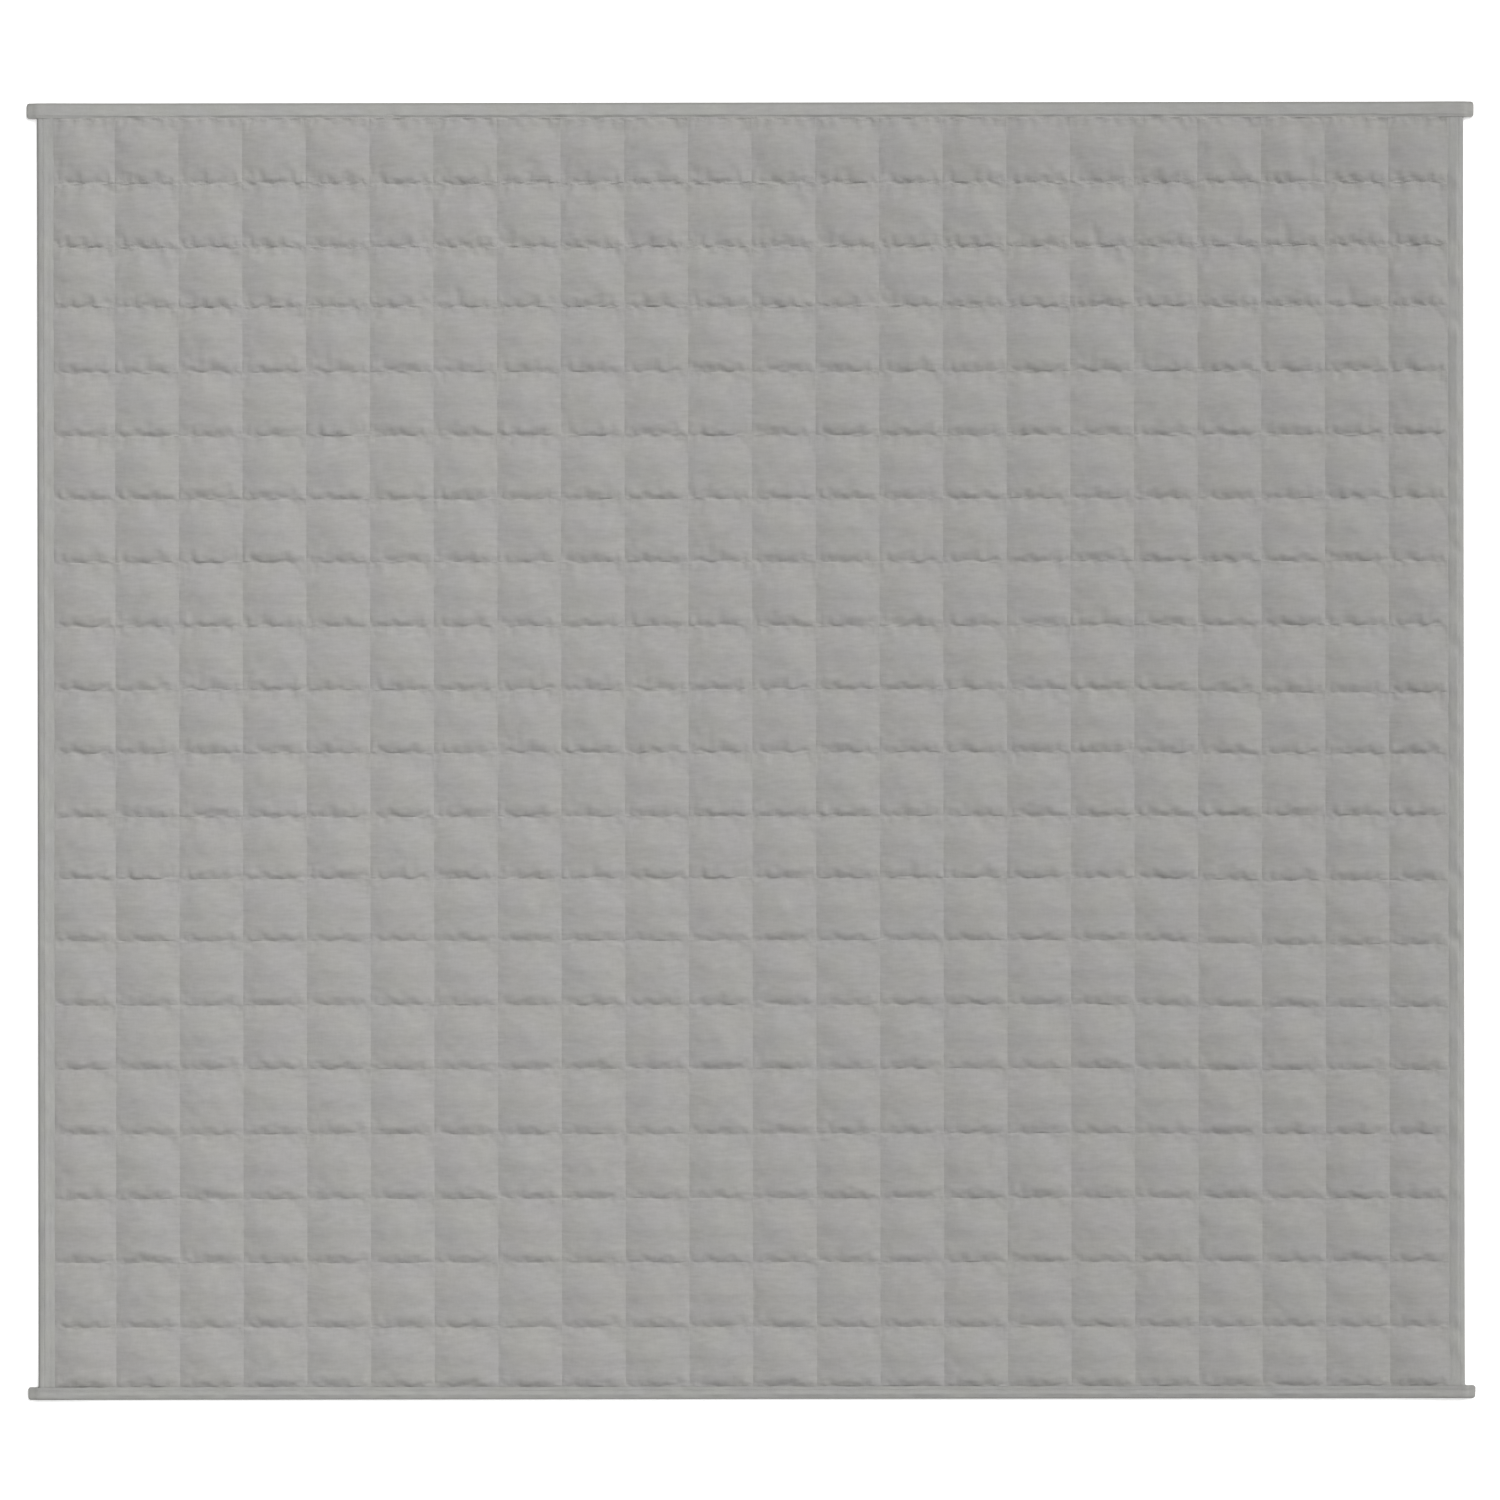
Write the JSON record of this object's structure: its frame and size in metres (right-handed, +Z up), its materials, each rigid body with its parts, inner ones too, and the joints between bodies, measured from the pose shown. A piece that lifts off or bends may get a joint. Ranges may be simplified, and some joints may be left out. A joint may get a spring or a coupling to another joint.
{
  "type": "weighted blanket",
  "caption": "Filled blanket lying flat, sewn into rows and columns of square padded cells, with a folded tape round its edge that stands out a little past each corner.",
  "frame": {"origin": "under the middle of the blanket, on the level that it lies on", "axes": "+X to the blanket's right and +Y to its head as it is seen from above, +Z up"},
  "size_m": [2.232, 2, 0.0131],
  "materials": {
    "quilt_cloth": "matt, close plain-woven cotton in a warm light grey",
    "binding_tape": "matt woven tape in the same grey, folded double and topstitched"
  },
  "bodies": {
    "root": {"quilt": "quilt_cloth", "binding_head": "binding_tape", "binding_foot": "binding_tape", "binding_left": "binding_tape", "binding_right": "binding_tape"}
  },
  "joints": []
}
